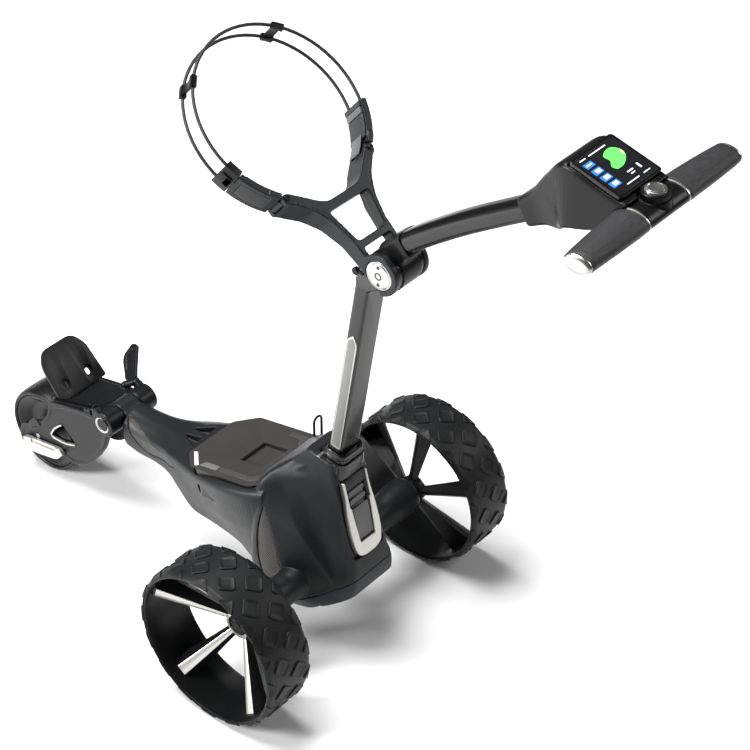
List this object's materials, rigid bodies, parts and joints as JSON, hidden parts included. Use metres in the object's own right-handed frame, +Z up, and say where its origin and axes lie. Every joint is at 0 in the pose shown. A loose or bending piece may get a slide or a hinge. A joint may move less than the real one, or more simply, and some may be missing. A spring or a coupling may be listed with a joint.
{
  "type": "electric golf trolley",
  "caption": "Folding three-wheeled electric golf trolley with a battery tray, bag hoop and rest, leaning shaft, display head and T-shaped handle.",
  "frame": {"origin": "on the ground, at the centre of the footprint of the bounding box", "axes": "+Z up, +Y from the front wheel back towards the handlebar and the golfer, +X to the left of a golfer who stands behind the handlebar and faces the front wheel, which is the side that carries the cam lever"},
  "size_m": [0.6, 1.317, 1.0972],
  "materials": {
    "charcoal": "satin charcoal moulding, finely grained",
    "bumper": "blue-grey satin moulding",
    "gloss_black": "gloss black coated aluminium",
    "lever_black": "gloss black moulding",
    "satin_black": "satin black moulding",
    "tyre": "satin dark grey tyre",
    "rim": "dark grey satin moulding",
    "silver": "champagne-silver satin trim",
    "steel": "plain steel",
    "battery": "warm dark grey textured case",
    "leather": "dark stitched leather-look wrap",
    "glass": "dark glossy display cover",
    "band": "black woven elastic",
    "board": "green circuit board"
  },
  "bodies": {
    "chassis": {"chassis_shell": "charcoal", "rear_bumper": "bumper", "base_cover": "satin_black", "gearbox": "steel", "drive_motor": "steel", "control_board": "board", "wire_loop": "satin_black", "latch_trim": "silver", "shaft_pivot_pin": "steel"},
    "release_lever": {"release_lever": "lever_black"},
    "battery": {"battery": "battery"},
    "left_wheel": {"left_rear_tyre": "tyre", "left_rear_rim": "rim", "left_spoke_trim": "silver", "left_half_axle": "steel"},
    "left_button": {"left_wheel_button": "satin_black"},
    "right_wheel": {"right_rear_tyre": "tyre", "right_rear_rim": "rim", "right_spoke_trim": "silver", "right_half_axle": "steel"},
    "right_button": {"right_wheel_button": "satin_black"},
    "shaft": {"lower_shaft": "gloss_black", "shaft_collar": "satin_black", "left_shaft_inlay": "silver", "right_shaft_inlay": "silver", "hinge_pin": "steel", "left_hinge_cap": "silver", "right_hinge_cap": "silver", "bag_bracket": "charcoal"},
    "knob": {"hinge_knob": "satin_black"},
    "left_arm": {"left_cradle_arm": "charcoal"},
    "right_arm": {"right_cradle_arm": "charcoal", "arm_pad": "band", "rear_hoop_band": "band", "front_hoop_band": "band", "left_band_clip": "satin_black", "right_band_clip": "satin_black", "strap_clamp": "satin_black"},
    "handle": {"upper_shaft": "gloss_black", "display_housing": "charcoal", "display_screen": "glass", "handle_core": "charcoal", "left_grip_ring": "silver", "right_grip_ring": "silver", "left_grip": "leather", "right_grip": "leather", "left_grip_cap": "silver", "right_grip_cap": "silver"},
    "dial": {"dial_ring": "satin_black"},
    "dial_button": {"dial_cap": "silver"},
    "fork": {"front_fork": "charcoal", "fork_pin": "steel", "front_axle": "steel", "bag_rest": "charcoal"},
    "front_wheel": {"front_tyre": "tyre", "front_rim": "rim"},
    "left_wing": {"left_wing": "charcoal"},
    "right_wing": {"right_wing": "charcoal"},
    "cam_lever": {"cam_lever": "silver"}
  },
  "joints": [
    {"name": "release_lever_pull", "type": "hinge", "parent": "chassis", "child": "release_lever", "pos_m": [0, 0.14755, 0.22618], "axis": [-1, 0, 0], "range_deg": [0, 22], "stiffness_Nm_per_rad": 0.4},
    {"name": "battery_lift", "type": "slide", "parent": "chassis", "child": "battery", "axis": [0, -0.2079, 0.9781], "range_m": [0, 0.085]},
    {"name": "left_wheel_roll", "type": "hinge", "parent": "chassis", "child": "left_wheel", "pos_m": [0.2522, 0.0759, 0.1424], "axis": [1, 0, 0], "continuous": true},
    {"name": "left_wheel_release", "type": "slide", "parent": "left_wheel", "child": "left_button", "axis": [-1, 0, 0], "range_m": [0, 0.003], "stiffness_N_per_m": 1200},
    {"name": "right_wheel_roll", "type": "hinge", "parent": "chassis", "child": "right_wheel", "pos_m": [-0.2522, 0.0759, 0.1424], "axis": [1, 0, 0], "continuous": true},
    {"name": "right_wheel_release", "type": "slide", "parent": "right_wheel", "child": "right_button", "axis": [1, 0, 0], "range_m": [0, 0.003], "stiffness_N_per_m": 1200},
    {"name": "shaft_fold", "type": "hinge", "parent": "chassis", "child": "shaft", "pos_m": [0, 0.0849, 0.372], "axis": [1, 0, 0], "range_deg": [0, 99.5]},
    {"name": "hinge_knob_turn", "type": "hinge", "parent": "shaft", "child": "knob", "pos_m": [0.033, 0.1649, 0.762], "axis": [0, 1, 0], "range_deg": [0, 90]},
    {"name": "left_arm_swing", "type": "hinge", "parent": "shaft", "child": "left_arm", "pos_m": [0.0908, 0.07125, 0.864], "axis": [0, 0.6428, 0.766], "range_deg": [0, 25]},
    {"name": "right_arm_swing", "type": "hinge", "parent": "shaft", "child": "right_arm", "pos_m": [-0.0908, 0.07125, 0.864], "axis": [0, -0.6428, -0.766], "range_deg": [0, 10]},
    {"name": "handle_fold", "type": "hinge", "parent": "shaft", "child": "handle", "pos_m": [0, 0.2107, 0.7746], "axis": [-1, 0, 0], "range_deg": [0, 105]},
    {"name": "dial_turn", "type": "hinge", "parent": "handle", "child": "dial", "pos_m": [0, 0.6329, 1.07], "axis": [0, 0, 1], "continuous": true},
    {"name": "dial_press", "type": "slide", "parent": "dial", "child": "dial_button", "axis": [0, 0, -1], "range_m": [0, 0.0018], "stiffness_N_per_m": 800},
    {"name": "fork_fold", "type": "hinge", "parent": "chassis", "child": "fork", "pos_m": [0, -0.3932, 0.2041], "axis": [1, 0, 0], "range_deg": [0, 90]},
    {"name": "front_wheel_roll", "type": "hinge", "parent": "fork", "child": "front_wheel", "pos_m": [0, -0.5747, 0.0838], "axis": [1, 0, 0], "continuous": true},
    {"name": "left_wing_swing", "type": "hinge", "parent": "fork", "child": "left_wing", "pos_m": [0.0455, -0.4237, 0.2214], "axis": [-0.3448, -0.8103, -0.4739], "range_deg": [-15, 30]},
    {"name": "right_wing_swing", "type": "hinge", "parent": "fork", "child": "right_wing", "pos_m": [-0.0455, -0.4237, 0.2214], "axis": [-0.3448, 0.8103, 0.4739], "range_deg": [-15, 30]},
    {"name": "cam_lever_swing", "type": "hinge", "parent": "fork", "child": "cam_lever", "pos_m": [0.0555, -0.6081, 0.066], "axis": [-1, 0, 0], "range_deg": [0, 60]}
  ],
  "couplings": [
    {"joint": "fork_fold", "follows": "shaft_fold", "ratio": 0.9}
  ]
}
